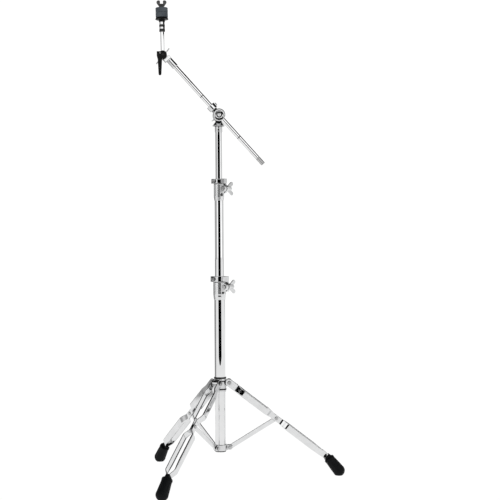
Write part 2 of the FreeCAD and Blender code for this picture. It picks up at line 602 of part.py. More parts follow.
def build_memory_lock(label, screw_label, key, inner):
    """Split ring on the inner tube: ears and key screw on the -X side, a nose over the clamp's ears."""
    bottom = key + "_clamp_top + lock_gap"
    radius = key + "_lock_radius"
    tall = key + "_lock_height"
    screw_at = key + "_lock_screw_reach"
    ring = turned(ring_profile(inner + " + bush_gap", radius, tall))
    ears = block(screw_at + " + lock_ear_end - 6", "2 * lock_ear_half", tall,
                 ("0 - " + screw_at + " - lock_ear_end", "0 - lock_ear_half", "0"))
    nose = block(key + "_ear_reach + 4 - 6", "2 * lock_nose_half", tall, ("6", "0 - lock_nose_half", "0"))
    nose_arm = spun(nose, size("clamp_azimuth"))
    bore = cylinder(inner + " + bush_gap", tall + " + 2", ("0", "0", "0 - 1"))
    slit = block("60", "2", tall + " + 2", ("0 - 60 - " + inner, "0 - 1", "0 - 1"))
    hole = cylinder("lock_screw_radius", "60", ("0 - " + screw_at, "0 - 30", tall + " * 0.5"), TO_PLUS_Y)
    keep(cut(fuse(ring, ears, nose_arm), bore, slit, hole), label, ("0", "0", bottom))
    half = size("lock_ear_half")
    shaft = Part.makeCylinder(size("lock_screw_radius"), 2 * half, FreeCAD.Vector(0, half, 0), Y * -1)
    thick = size("lock_head_thick")
    head = Part.makeCylinder(size("lock_screw_head"), thick, FreeCAD.Vector(0, -half, 0), Y * -1)
    screw = solid(screw_label, shaft.fuse([head, square_key(-half - thick, -1)]).removeSplitter())
    screw.Placement = FreeCAD.Placement(
        FreeCAD.Vector(-size(screw_at), 0, size(key + "_clamp_top") + size("lock_gap") + size(tall) / 2),
        FreeCAD.Rotation())


def build_telescopes():
    build_clamp("lower_clamp", "low", "lower_radius", "middle_radius", [clamp_window()])
    build_clamp("upper_clamp", "up", "middle_radius", "upper_radius")
    build_clamp_rivet("lower_clamp_rivet", "low", "lower_radius")
    build_clamp_rivet("upper_clamp_rivet", "up", "middle_radius")
    build_clamp_insides("lower_clamp_bushing", "low", "lower_radius", "middle_radius", "lower_top")
    build_clamp_insides("upper_clamp_bushing", "up", "middle_radius", "upper_radius", "middle_top")
    for name, key, inner in (("lower", "low", "middle_radius"), ("upper", "up", "upper_radius")):
        build_clamp_bolt(name + "_clamp_bolt", key)
        build_wing_nut(name + "_wing_nut", key)
        build_memory_lock(name + "_memory_lock", name + "_lock_screw", key, inner)


# ---- boom tilter and boom ------------------------------------------------------------------------

def boom_placement():
    """Frame of the boom: origin on the tilt axis, +Z up the boom, +X square to it and upwards."""
    return FreeCAD.Placement(FreeCAD.Vector(0, -size("boom_offset"), size("tilt_height")),
                             FreeCAD.Rotation(Y, size("boom_angle") - 90))


def build_tilter_base():
    rise = " - socket_bottom"
    low = "skirt_low" + rise
    high = "skirt_high" + rise
    top = "socket_top" + rise
    tube_top = "upper_top" + rise
    skirt = turned([("upper_radius", "0"), ("socket_radius", "0"), ("socket_radius", high + " - 4"),
                    ("skirt_radius - 0.8", low), ("skirt_radius", low + " + 0.9"),
                    ("socket_radius + 1.4", high), ("socket_radius", top), ("0", top), ("0", tube_top),
                    ("upper_radius", tube_top)])
    place(skirt, ("0", "0", "socket_bottom"))
    neck = block("tilt_neck_wide", "2 * tilt_ear_half", "tilt_height - socket_top + 3",
                 ("0 - tilt_neck_wide * 0.5", "0 - tilt_ear_half", "socket_top - 3"))
    ear = cylinder("tilt_ear_radius", "2 * tilt_ear_half", ("0", "0 - tilt_ear_half", "tilt_height"),
                   TO_PLUS_Y)
    hole = cylinder("stud_radius + pin_gap", "40", ("0", "0 - 20", "tilt_height"), TO_PLUS_Y)
    keep(cut(fuse(skirt, neck, ear), hole), "tilter_base")


def build_tilter_head():
    front = size("tilt_ear_half") + size("side_gap")
    offset = size("boom_offset")
    height = FreeCAD.Vector(0, 0, size("tilt_height"))
    at_front = Y * -front
    disc = Part.makeCylinder(size("ratchet_radius"), size("ratchet_thick"), at_front, Y * -1)
    stud_hole = Part.makeCylinder(size("stud_radius"), 40, FreeCAD.Vector(0, -30, 0), Y)
    wide = size("tooth_wide")
    deep = size("tooth_deep")
    teeth = []
    for index in range(RATCHET_TEETH):
        corner = FreeCAD.Vector(size("ratchet_radius") - deep, -wide / 2, -1.0)
        groove = Part.makeBox(2 * deep, wide, 2.0, corner)
        around = FreeCAD.Rotation(Y, 360.0 * index / RATCHET_TEETH)
        groove.Placement = FreeCAD.Placement(at_front, around.multiply(TO_PLUS_Y))
        teeth.append(groove)
    ratchet = solid("ratchet_disc", disc.cut([stud_hole] + teeth))
    ratchet.Placement = FreeCAD.Placement(height, FreeCAD.Rotation())

    drum_back = front + size("ratchet_thick")
    drum_front = drum_back + size("drum_thick")
    drum = Part.makeCylinder(size("drum_radius"), size("drum_thick"), Y * -drum_back, Y * -1)
    rims = [edge for edge in drum.Edges if edge.Closed]
    drum = drum.makeFillet(1.6, rims)
    along_boom = FreeCAD.Placement(FreeCAD.Vector(0, -offset, 0), boom_placement().Rotation)
    neck = Part.makeCylinder(size("neck_radius"), size("neck_end"))
    neck.Placement = along_boom
    bore = Part.makeCylinder(size("boom_radius") + size("boom_gap"), 120, FreeCAD.Vector(0, 0, -60))
    bore.Placement = along_boom
    grip = size("stud_grip")
    blind = Part.makeCylinder(size("stud_radius"), grip, FreeCAD.Vector(0, -drum_back - grip, 0), Y)
    screw_hole = Part.makeCylinder(size("key_screw_radius"), 20, FreeCAD.Vector(0, 0, ring_middle()), X)
    screw_hole.Placement = along_boom
    head = solid("tilter_head", drum.fuse(neck).removeSplitter().cut([bore, blind, screw_hole]))
    head.Placement = FreeCAD.Placement(height, FreeCAD.Rotation())

    stud = Part.makeCylinder(size("stud_radius"), drum_back + grip + size("stud_rear"),
                             FreeCAD.Vector(0, -drum_back - grip, 0), Y)
    solid("tilter_stud", stud).Placement = FreeCAD.Placement(height, FreeCAD.Rotation())

    plate = Part.makeCylinder(size("front_cap_radius"), size("front_cap_thick"), Y * -drum_front, Y * -1)
    face = drum_front + size("front_cap_thick")
    at_face = FreeCAD.Vector(0, -face, 0)
    deep = size("cap_groove_deep")
    groove = Part.makeCylinder(size("cap_groove_outer"), deep, at_face, Y).cut(
        Part.makeCylinder(size("cap_groove_inner"), deep, at_face, Y))
    boss = Part.makeCylinder(size("cap_boss_radius"), size("cap_boss_thick"), at_face, Y * -1)
    socket = Part.makeCylinder(size("cap_socket_radius"), size("cap_socket_deep"),
                               FreeCAD.Vector(0, -face - size("cap_boss_thick"), 0), Y)
    cap = solid("tilter_front_cap", plate.cut(groove).fuse(boss).removeSplitter().cut(socket))
    cap.Placement = FreeCAD.Placement(height, FreeCAD.Rotation())


def ring_middle():
    """Distance up the boom from the tilt axis to the middle of the clamp ring."""
    return (size("ring_start") + size("neck_end")) / 2


def build_boom_clamp():
    start = size("ring_start")
    long = size("neck_end") - start
    ring = Part.makeCylinder(size("ring_radius"), long, FreeCAD.Vector(0, 0, start))
    rims = [edge for edge in ring.Edges if edge.Closed]
    ring = ring.makeFillet(1.0, rims)
    half = size("ring_lug_half")
    lug = Part.makeBox(size("ring_lug_reach") - 6, 2 * half, long - 3, FreeCAD.Vector(6, -half, start + 1.5))
    bore = Part.makeCylinder(size("neck_radius"), 80)
    hole = Part.makeCylinder(size("key_screw_radius"), 40, FreeCAD.Vector(0, 0, ring_middle()), X)
    ring_piece = solid("boom_clamp_ring", ring.fuse(lug).removeSplitter().cut([bore, hole]))
    ring_piece.Placement = boom_placement()
    inner = size("boom_radius") + size("boom_gap") + 0.2
    reach = size("ring_lug_reach")
    middle = ring_middle()
    shaft = Part.makeCylinder(size("key_screw_radius"), reach - inner, FreeCAD.Vector(inner, 0, middle), X)
    at_head = FreeCAD.Vector(reach, 0, middle)
    head = Part.makeCylinder(size("key_head_radius"), size("key_head_thick"), at_head, X)
    solid("boom_key_screw", shaft.fuse(head).removeSplitter()).Placement = boom_placement()


def build_boom():
    down = size("boom_down")
    outer = size("boom_radius")
    tube_long = down + size("boom_up")
    boom = Part.makeCylinder(outer, tube_long, FreeCAD.Vector(0, 0, -down))
    boom = boom.cut(Part.makeCylinder(size("boom_bore"), tube_long, FreeCAD.Vector(0, 0, -down)))
    solid("boom_tube", boom).Placement = boom_placement()
    grip_low = -down - size("grip_long")
    grip = Part.makeCylinder(outer, size("grip_long"), FreeCAD.Vector(0, 0, grip_low))
    rim = [edge for edge in grip.Edges if edge.Closed and edge.CenterOfMass.z < grip_low + 1]
    grip = grip.makeFillet(1.2, rim)
    spigot = Part.makeCylinder(size("boom_bore"), size("grip_spigot"), FreeCAD.Vector(0, 0, -down))
    solid("boom_end_grip", grip.fuse(spigot).removeSplitter()).Placement = boom_placement()


def build_tilter_wing_nut():
    shape = wing_nut_shape(size("tilter_nut_long"), size("tilter_wing_half_span"), size("tilter_wing_lift"),
                           size("stud_radius"))
    nut = solid("tilter_wing_nut", shape)
    rear = FreeCAD.Vector(0, size("tilt_ear_half") + size("side_gap"), size("tilt_height"))
    raised = FreeCAD.Rotation(Z, -35)
    nut.Placement = FreeCAD.Placement(rear, TO_PLUS_Y.multiply(raised))


# ---- cymbal holder -------------------------------------------------------------------------------

def holder_point():
    """Pivot of the cymbal holder, beyond the boom's high end and a little under its axis."""
    return boom_placement().multVec(FreeCAD.Vector(-size("holder_drop"), 0, size("holder_distance")))


def holder_placement(rise=0.0):
    """Frame of the cymbal post: origin on it at a height above the pivot, +Z up the post."""
    lean = FreeCAD.Placement(holder_point(), FreeCAD.Rotation(Y, -size("holder_lean")))
    return lean.multiply(FreeCAD.Placement(Z * rise, FreeCAD.Rotation()))


def build_fork():
    pivot = size("holder_distance")
    web_top = pivot - size("fork_web")
    socket_low = web_top - size("fork_socket_long")
    radius = size("fork_socket_radius")
    gap = size("fork_gap")
    thick = size("fork_thick")
    ear = size("fork_radius")
    outer = gap + thick
    drop = size("holder_drop")
    socket = Part.makeCylinder(radius, web_top - socket_low, FreeCAD.Vector(0, 0, socket_low))
    rim = [edge for edge in socket.Edges if edge.Closed and edge.CenterOfMass.z < socket_low + 1]
    web = size("fork_web_tall")
    half = size("fork_web_half")
    low_side = -half - drop
    parts = [Part.makeBox(2 * half + drop, 2 * outer, web, FreeCAD.Vector(low_side, -outer, web_top - web))]
    for near in (-outer, gap):
        root = FreeCAD.Vector(low_side, near, web_top)
        parts.append(Part.makeCylinder(ear, thick, FreeCAD.Vector(-drop, near, pivot), Y))
        parts.append(Part.makeBox(2 * half, thick, pivot - web_top, root))
    bore_long = size("boom_up") - socket_low + size("side_gap")
    bore = Part.makeCylinder(size("boom_radius") + size("boom_gap"), bore_long, Z * socket_low)
    hole_radius = size("pivot_bolt_radius") + size("pin_gap")
    hole = Part.makeCylinder(hole_radius, 60, FreeCAD.Vector(-drop, -30, pivot), Y)
    fork = socket.makeFillet(1.5, rim).fuse(parts).removeSplitter().cut([bore, hole])
    solid("cymbal_tilter_fork", fork).Placement = boom_placement()


def build_pivot_bolt():
    """Bolt through the fork with a pair of wings on its rear end."""
    outer = size("fork_gap") + size("fork_thick")
    rear = outer + size("lever_gap")
    front = outer + size("lever_gap") + size("lever_hub_thick") - 1.2
    shaft = Part.makeCylinder(size("pivot_bolt_radius"), rear + front, FreeCAD.Vector(0, -front, 0), Y)
    head = Part.makeCylinder(size("pivot_head_radius"), size("pivot_head_thick"), Y * rear, Y)
    thick = size("rear_wing_thick")
    long = size("rear_wing_long")
    corner = FreeCAD.Vector(-long, rear + 1.0, -thick / 2)
    wing = Part.makeBox(2 * long, size("rear_wing_tall"), thick, corner)
    tips = [edge for edge in wing.Edges if abs(edge.CenterOfMass.x) > long - 1 and edge.Length < thick + 0.1]
    wing = wing.makeFillet(3.5, tips)
    wing.rotate(FreeCAD.Vector(), Y, -size("rear_wing_angle"))
    bolt = solid("tilter_wing_bolt", shaft.fuse([head, wing]).removeSplitter())
    bolt.Placement = FreeCAD.Placement(holder_point(), FreeCAD.Rotation())


def build_lever():
    """Black clamp lever on the front of the fork: a round hub, a shoulder and an arm that hangs down."""
    back = -(size("fork_gap") + size("fork_thick") + size("lever_gap"))
    hub = Part.makeCylinder(size("lever_hub_radius"), size("lever_hub_thick"), Y * back, Y * -1)
    rims = [edge for edge in hub.Edges if edge.Closed and edge.CenterOfMass.y < back - 1]
    hub = hub.makeFillet(1.5, rims)
    shift = -size("lever_shift")
    top = size("lever_top_width") / 2
    tip = size("lever_tip_width") / 2
    low = -size("lever_low") + tip
    arm_back = back - 1.0
    corners = [(shift - top - 2.5, 9.0), (shift - top - 2.5, -3.0), (shift - top, -12.0), (shift - tip, low),
               (shift + tip, low), (shift + top, -9.0), (shift + top, 9.0)]
    outline = [FreeCAD.Vector(x, arm_back, z) for x, z in corners + corners[:1]]
    arm = Part.Face(Part.makePolygon(outline)).extrude(FreeCAD.Vector(0, -size("lever_thick"), 0))
    end = Part.makeCylinder(tip, size("lever_thick"), FreeCAD.Vector(shift, arm_back, low), Y * -1)
    hole = Part.makeCylinder(size("pivot_bolt_radius") + size("pin_gap"), 60, FreeCAD.Vector(0, -30, 0), Y)
    lever = solid("tilter_lever", hub.fuse([arm, end]).removeSplitter().cut(hole))
    lever.Placement = FreeCAD.Placement(holder_point(), FreeCAD.Rotation())


def build_cymbal_rod():
    radius = size("rod_radius")
    eye = Part.makeCylinder(size("eye_radius"), 2 * radius, FreeCAD.Vector(0, -radius, 0), Y)
    rod = Part.makeCylinder(radius, size("rod_top"))
    post = Part.makeCylinder(size("post_radius"), size("post_top") - size("rod_top"),
                             FreeCAD.Vector(0, 0, size("rod_top")))
    tip = [edge for edge in post.Edges if edge.Closed and edge.CenterOfMass.z > size("post_top") - 1]
    hole = Part.makeCylinder(size("pivot_bolt_radius") + size("pin_gap"), 60, FreeCAD.Vector(0, -30, 0), Y)
    shape = eye.fuse([rod, post.makeChamfer(0.8, tip)]).removeSplitter().cut(hole)
    solid("cymbal_rod", shape).Placement = holder_placement()


def on_holder(item, label, rise):
    """Keep a turned piece on the cymbal post, at a height above the holder's pivot."""
    item.Label = label
    item.Placement = holder_placement(rise)
    sub_parts.append(item)


def build_cymbal_seat():
    band = "seat_band_radius"
    full = "seat_radius"
    seat = turned([("post_radius", "0"), (full + " - 1", "0"), (full, "1.5"), (full, "8"), (band, "8.8"),
                   (band, "11"), (full, "11.8"), (full, "18"), (band, "19"), (band, "seat_long"),
                   ("post_radius", "seat_long")])
    on_holder(seat, "seat_sleeve", size("rod_top"))
    fall = " - cup_bottom"
    cup = turned([("post_radius", "0"), ("cup_neck_radius", "0"), ("cup_neck_radius", "cup_web" + fall),
                  ("cup_radius - 0.9", "cup_edge_low" + fall), ("cup_radius", "cup_edge_low" + fall + " + 1"),
                  ("cup_radius - 2.4", "cup_top" + fall + " - 1"), ("cup_radius - 4", "cup_top" + fall),
                  ("post_radius", "cup_top" + fall)])
    on_holder(cup, "seat_cup", size("cup_bottom"))
    top = size("cup_top")
    liner = turned(ring_profile("post_radius", "liner_radius", "2 * felt_thick - 3"))
    on_holder(liner, "cymbal_sleeve", top)
    for label in ("lower_felt", "upper_felt"):
        felt = turned([("liner_radius", "0"), ("felt_radius - felt_edge", "0"), ("felt_radius", "felt_edge"),
                       ("felt_radius", "felt_thick - felt_edge"), ("felt_radius - felt_edge", "felt_thick"),
                       ("liner_radius", "felt_thick")])
        on_holder(felt, label, top)
        top += size("felt_thick") + size("felt_gap")
    nut = wing_nut_shape(size("top_nut_long"), size("top_wing_half_span"), size("top_wing_lift"),
                         size("post_radius"))
    solid("cymbal_wing_nut", nut).Placement = holder_placement(top - size("felt_gap") + size("top_nut_rise"))


# ---- assembly and export -------------------------------------------------------------------------

def main():
    build_mast_tubes()
    build_hub()
    build_collar()
    build_legs()
    build_telescopes()
    build_tilter_base()
    build_tilter_head()
    build_boom_clamp()
    build_tilter_wing_nut()
    build_boom()
    build_fork()
    build_pivot_bolt()
    build_lever()
    build_cymbal_rod()
    build_cymbal_seat()
    doc.recompute()
    failed = [item.Name for item in doc.Objects if "Invalid" in item.State or "Error" in item.State]
    if failed:
        raise RuntimeError("objects failed to compute: " + ", ".join(failed))
    for item in sub_parts:
        if item.Shape.isNull() or not item.Shape.isValid() or not item.Shape.Solids:
            raise RuntimeError("bad shape: " + item.Label)
    os.makedirs("parts", exist_ok=True)
    for item in sub_parts:
        item.Shape.exportStep(os.path.join("parts", item.Label + ".step"))
    print("wrote %d sub-parts" % len(sub_parts))


main()
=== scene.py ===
import bpy
import bmesh
import json
import math
from mathutils import Matrix, Vector


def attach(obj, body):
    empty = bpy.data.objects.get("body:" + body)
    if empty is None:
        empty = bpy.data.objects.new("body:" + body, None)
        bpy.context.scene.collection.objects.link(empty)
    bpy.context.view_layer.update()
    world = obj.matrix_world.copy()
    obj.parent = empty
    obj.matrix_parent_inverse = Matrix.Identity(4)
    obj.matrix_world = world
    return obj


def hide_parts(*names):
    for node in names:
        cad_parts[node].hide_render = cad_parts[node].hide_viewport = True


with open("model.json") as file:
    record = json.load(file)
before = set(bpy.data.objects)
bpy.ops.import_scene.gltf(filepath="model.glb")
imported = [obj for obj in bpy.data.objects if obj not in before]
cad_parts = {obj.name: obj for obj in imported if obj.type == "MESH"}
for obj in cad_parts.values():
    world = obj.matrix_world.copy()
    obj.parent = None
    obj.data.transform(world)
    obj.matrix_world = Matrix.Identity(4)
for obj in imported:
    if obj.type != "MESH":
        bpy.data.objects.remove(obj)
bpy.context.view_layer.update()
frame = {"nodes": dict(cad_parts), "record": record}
MM = 0.001


def shift(x, y, z):
    return Matrix.Translation(Vector((x, y, z)) * MM)


UPRIGHT = Matrix.Identity(4)
TILT_HEIGHT = 1014.0
BOOM_OFFSET = 25.0
BOOM_TURN = -42.0
BOOM = shift(0, -BOOM_OFFSET, TILT_HEIGHT) @ Matrix.Rotation(math.radians(BOOM_TURN), 4, "Y")


# ---- camera, floor and light -----------------------------------------------------------------------

CAMERA_AZIMUTH = math.radians(-4.7)
CAMERA_DISTANCE = 3.42
CAMERA_RIGHT = 0.086
CAMERA_HEIGHT = 0.638
CAMERA_ROLL = math.radians(-0.37)
FOCAL_PIXELS = 1220.0
SENSOR_MM = 36.0
IMAGE_PIXELS = 500.0
FARTHEST_SEEN = 300.0

FLOOR_HALF = 80.0
# How bright the backdrop, the room and the surroundings seen in reflections are. The last grow dark
# from front to back and towards the zenith; ranges are of the reflected direction's Y and Z.
BACKDROP_GLOW = 1.06
ROOM_GLOW = 1.02
REFLECTED_FRONT = 1.45
REFLECTED_BACK = 0.62
REFLECTED_SIDE = 0.17
REFLECTED_ABOVE = 0.03
FRONT_TO_BACK = (-0.66, -0.18)
START_OF_DARK_ABOVE = (0.50, 0.62)
GAP_DISTANCE = 3.35
# Heights of the gap in m, each with the half width there.
GAP_HALF_WIDTHS = ((0.0, 2.0), (0.92, 2.0), (1.02, 2.9), (1.36, 2.9))
FLOOR_GLOW = 1.03

# The boom's flag is placed in mm in the boom's own frame, the floor's flags in m.
BOOM_FLAG_ABOVE = 250.0
BOOM_FLAG_ACROSS = (-250.0, 600.0)
BOOM_FLAG_ALONG = (140.0, 225.0)
LEFT_FLAG_GLOW = 0.34
BACK_FLAG_GLOW = 0.68
LEFT_FLAG = [(-FLOOR_HALF, 0.3), (-2.2, 0.3), (-0.3, 2.4), (-0.3, FLOOR_HALF),
             (-FLOOR_HALF, FLOOR_HALF)]
BACK_FLAG = [(-0.3, 5.0), (FLOOR_HALF, 5.0), (FLOOR_HALF, FLOOR_HALF), (-0.3, FLOOR_HALF)]

LIT_POINT = (0, 0, 0.7)
SOFTBOXES = {
    "left_softbox": {"place": (-3.4, -3.0, 1.3), "wide": 1.6, "tall": 2.6, "watts": 24},
    "right_softbox": {"place": (3.4, -3.0, 1.3), "wide": 1.8, "tall": 2.6, "watts": 30},
    "top_softbox": {"place": (0, -0.6, 3.4), "wide": 2.0, "tall": 2.0, "watts": 16},
}


def make_camera():
    """A camera in front of the stand and a little to its left, looking level through a long lens."""
    back = Vector((math.sin(CAMERA_AZIMUTH), -math.cos(CAMERA_AZIMUTH), 0))
    right = Vector((math.cos(CAMERA_AZIMUTH), math.sin(CAMERA_AZIMUTH), 0))
    data = bpy.data.cameras.new("camera")
    data.sensor_width = SENSOR_MM
    data.lens = SENSOR_MM * FOCAL_PIXELS / IMAGE_PIXELS
    data.clip_end = FARTHEST_SEEN
    camera = bpy.data.objects.new("camera", data)
    bpy.context.scene.collection.objects.link(camera)
    camera.location = back * CAMERA_DISTANCE + right * CAMERA_RIGHT + Vector((0, 0, CAMERA_HEIGHT))
    level = Matrix.Rotation(CAMERA_AZIMUTH, 4, "Z") @ Matrix.Rotation(math.radians(90), 4, "X")
    camera.rotation_euler = (level @ Matrix.Rotation(CAMERA_ROLL, 4, "Z")).to_euler()
    bpy.context.scene.camera = camera


def flat_sheet(name, corners, material):
    mesh = bpy.data.meshes.new(name)
    mesh.from_pydata([tuple(corner) for corner in corners], [], [tuple(range(len(corners)))])
    mesh.materials.append(material)
    sheet = bpy.data.objects.new(name, mesh)
    bpy.context.scene.collection.objects.link(sheet)
    return sheet


def glow_material(name, colour, strength):
    material = bpy.data.materials.new(name)
    material.use_nodes = True
    nodes = material.node_tree.nodes
    nodes.clear()
    out = nodes.new("ShaderNodeOutputMaterial")
    glow = nodes.new("ShaderNodeEmission")
    glow.inputs["Color"].default_value = (*colour, 1)
    glow.inputs["Strength"].default_value = strength
    material.node_tree.links.new(glow.outputs[0], out.inputs[0])
    return material


def make_floor():
    """A lit white floor, like a light table, that runs into the white backdrop."""
    half = FLOOR_HALF
    flat_sheet("studio_floor", [(-half, -half, 0), (half, -half, 0), (half, half, 0), (-half, half, 0)],
               glow_material("studio_floor", (1.0, 1.0, 1.0), FLOOR_GLOW))


def dark_sheet(name, corners, glow=0.0):
    """A dark sheet that shows only in reflections."""
    sheet = flat_sheet(name, corners, glow_material(name, (1.0, 1.0, 1.0), glow))
    sheet.visible_camera = False
    sheet.visible_diffuse = False
    sheet.visible_shadow = False


def make_dark_sheets():
    """The dark gap on the camera's side, which makes the line down each tube, and three flags."""
    right = [(half, -GAP_DISTANCE, height) for height, half in GAP_HALF_WIDTHS]
    left = [(-half, -GAP_DISTANCE, height) for height, half in reversed(GAP_HALF_WIDTHS)]
    dark_sheet("studio_gap", right + left)
    near, far = BOOM_FLAG_ACROSS
    low, high = BOOM_FLAG_ALONG
    corners = [(near, low), (far, low), (far, high), (near, high)]
    dark_sheet("boom_flag", [BOOM @ (Vector((BOOM_FLAG_ABOVE, y, z)) * MM) for y, z in corners])
    dark_sheet("left_floor_flag", [(x, y, MM) for x, y in LEFT_FLAG], LEFT_FLAG_GLOW)
    dark_sheet("back_floor_flag", [(x, y, MM) for x, y in BACK_FLAG], BACK_FLAG_GLOW)


def background(tree, strength):
    node = tree.nodes.new("ShaderNodeBackground")
    node.inputs["Color"].default_value = (1, 1, 1, 1)
    node.inputs["Strength"].default_value = strength
    return node


def mix_shaders(tree, factor, first, second):
    mix = tree.nodes.new("ShaderNodeMixShader")
    tree.links.new(factor, mix.inputs[0])
    tree.links.new(first.outputs[0], mix.inputs[1])
    tree.links.new(second.outputs[0], mix.inputs[2])
    return mix


def smooth_range(tree, source, given, wanted):
    node = tree.nodes.new("ShaderNodeMapRange")
    node.interpolation_type = "SMOOTHSTEP"
    for name, number in zip(("From Min", "From Max", "To Min", "To Max"), given + wanted):
        node.inputs[name].default_value = number
    tree.links.new(source, node.inputs["Value"])
    return node.outputs["Result"]


def make_world():
    """White behind the object; in reflections, bright in front of the stand, grey behind, dark above."""
    world = bpy.data.worlds.new("studio")
    bpy.context.scene.world = world
    world.use_nodes = True
    tree = world.node_tree
    tree.nodes.clear()
    out = tree.nodes.new("ShaderNodeOutputWorld")
    coordinates = tree.nodes.new("ShaderNodeTexCoord")
    split = tree.nodes.new("ShaderNodeSeparateXYZ")
    tree.links.new(coordinates.outputs["Generated"], split.inputs[0])
    depth = smooth_range(tree, split.outputs["Y"], FRONT_TO_BACK, (REFLECTED_FRONT, REFLECTED_BACK))
    side = tree.nodes.new("ShaderNodeMath")
    side.operation = "MULTIPLY_ADD"
    side.inputs[1].default_value = REFLECTED_SIDE
    tree.links.new(split.outputs["X"], side.inputs[0])
    tree.links.new(depth, side.inputs[2])
    above = smooth_range(tree, split.outputs["Z"], START_OF_DARK_ABOVE, (1.0, REFLECTED_ABOVE))
    shade = tree.nodes.new("ShaderNodeMath")
    shade.operation = "MULTIPLY"
    tree.links.new(side.outputs[0], shade.inputs[0])
    tree.links.new(above, shade.inputs[1])
    mirrored = background(tree, 1.0)
    tree.links.new(shade.outputs[0], mirrored.inputs["Strength"])
    path = tree.nodes.new("ShaderNodeLightPath")
    around = mix_shaders(tree, path.outputs["Is Glossy Ray"], background(tree, ROOM_GLOW), mirrored)
    seen = mix_shaders(tree, path.outputs["Is Camera Ray"], around, background(tree, BACKDROP_GLOW))
    tree.links.new(seen.outputs[0], out.inputs[0])


def make_lights():
    """Large soft lights that shade the dull parts and show in no reflection."""
    for name, box in SOFTBOXES.items():
        data = bpy.data.lights.new(name, "AREA")
        data.shape = "RECTANGLE"
        data.size = box["wide"]
        data.size_y = box["tall"]
        data.energy = box["watts"]
        light = bpy.data.objects.new(name, data)
        bpy.context.scene.collection.objects.link(light)
        light.location = box["place"]
        light.visible_glossy = False
        towards = Vector(LIT_POINT) - Vector(box["place"])
        light.rotation_euler = towards.to_track_quat("-Z", "Y").to_euler()


# ---- materials -------------------------------------------------------------------------------------

CLOUD_SCALE = 42.0
GLOSS_SCALE = 170.0
NOISE_DETAIL = 3.0
NOISE_RANGE = (0.3, 0.7)
# Painted shade in corners and gaps: the occlusion range over which it fades out, and its colour.
PAINTED_SHADE_FADE = (0.42, 0.86)
PAINTED_SHADE_BLACK = (0.004, 0.004, 0.004, 1)


def noise(tree, scale):
    coordinates = tree.nodes.new("ShaderNodeTexCoord")
    texture = tree.nodes.new("ShaderNodeTexNoise")
    texture.inputs["Scale"].default_value = scale
    texture.inputs["Detail"].default_value = NOISE_DETAIL
    tree.links.new(coordinates.outputs["Object"], texture.inputs["Vector"])
    return texture.outputs["Fac"]


def spread(tree, source, low, high):
    """Spread a noise value over a range."""
    node = tree.nodes.new("ShaderNodeMapRange")
    for name, number in zip(("From Min", "From Max", "To Min", "To Max"), (*NOISE_RANGE, low, high)):
        node.inputs[name].default_value = number
    tree.links.new(source, node.inputs["Value"])
    return node.outputs["Result"]


def painted_hollow_shade(tree, colour, distance):
    """The colour with painted shade, turning black where other metal is closer than the distance in mm.
    """
    hollow = tree.nodes.new("ShaderNodeAmbientOcclusion")
    hollow.inputs["Distance"].default_value = distance * MM
    shaded = tree.nodes.new("ShaderNodeMix")
    shaded.data_type = "RGBA"
    shaded.inputs["A"].default_value = PAINTED_SHADE_BLACK
    openness = smooth_range(tree, hollow.outputs["AO"], PAINTED_SHADE_FADE, (0.0, 1.0))
    tree.links.new(openness, shaded.inputs["Factor"])
    tree.links.new(colour, shaded.inputs["B"])
    return shaded.outputs["Result"]


def surface(name, light, dark, roughness, grain, metallic=1.0, gloss=0.5, painted_shade_reach=0.0):
    """A finish with cloudiness in its colour, uneven gloss, a fine grain and, where asked, painted shade
    in corners.

    roughness is (low, high); grain is a list of (noise scale, height in mm); the last argument is how
    far, in mm, painted shade reaches from a corner or gap into the metal.
    """
    material = bpy.data.materials.new(name)
    material.use_nodes = True
    tree = material.node_tree
    shader = tree.nodes["Principled BSDF"]
    shader.inputs["Metallic"].default_value = metallic
    shader.inputs["Specular IOR Level"].default_value = gloss
    tint = tree.nodes.new("ShaderNodeMix")
    tint.data_type = "RGBA"
    tint.inputs["A"].default_value = (*dark, 1)
    tint.inputs["B"].default_value = (*light, 1)
    tree.links.new(spread(tree, noise(tree, CLOUD_SCALE), 0.0, 1.0), tint.inputs["Factor"])
    colour = tint.outputs["Result"]
    # Painted shade: the metal goes black near corners and gaps.
    if painted_shade_reach:
        colour = painted_hollow_shade(tree, colour, painted_shade_reach)
    tree.links.new(colour, shader.inputs["Base Color"])
    tree.links.new(spread(tree, noise(tree, GLOSS_SCALE), *roughness), shader.inputs["Roughness"])
    normal = None
    for scale, height in grain:
        bump = tree.nodes.new("ShaderNodeBump")
        bump.inputs["Distance"].default_value = height * MM
        tree.links.new(noise(tree, scale), bump.inputs["Height"])
        if normal is not None:
            tree.links.new(normal, bump.inputs["Normal"])
        normal = bump.outputs["Normal"]
    if normal is not None:
        tree.links.new(normal, shader.inputs["Normal"])
    return material


def grey(level, warmth=0.0):
    return (level + warmth, level, level - warmth)
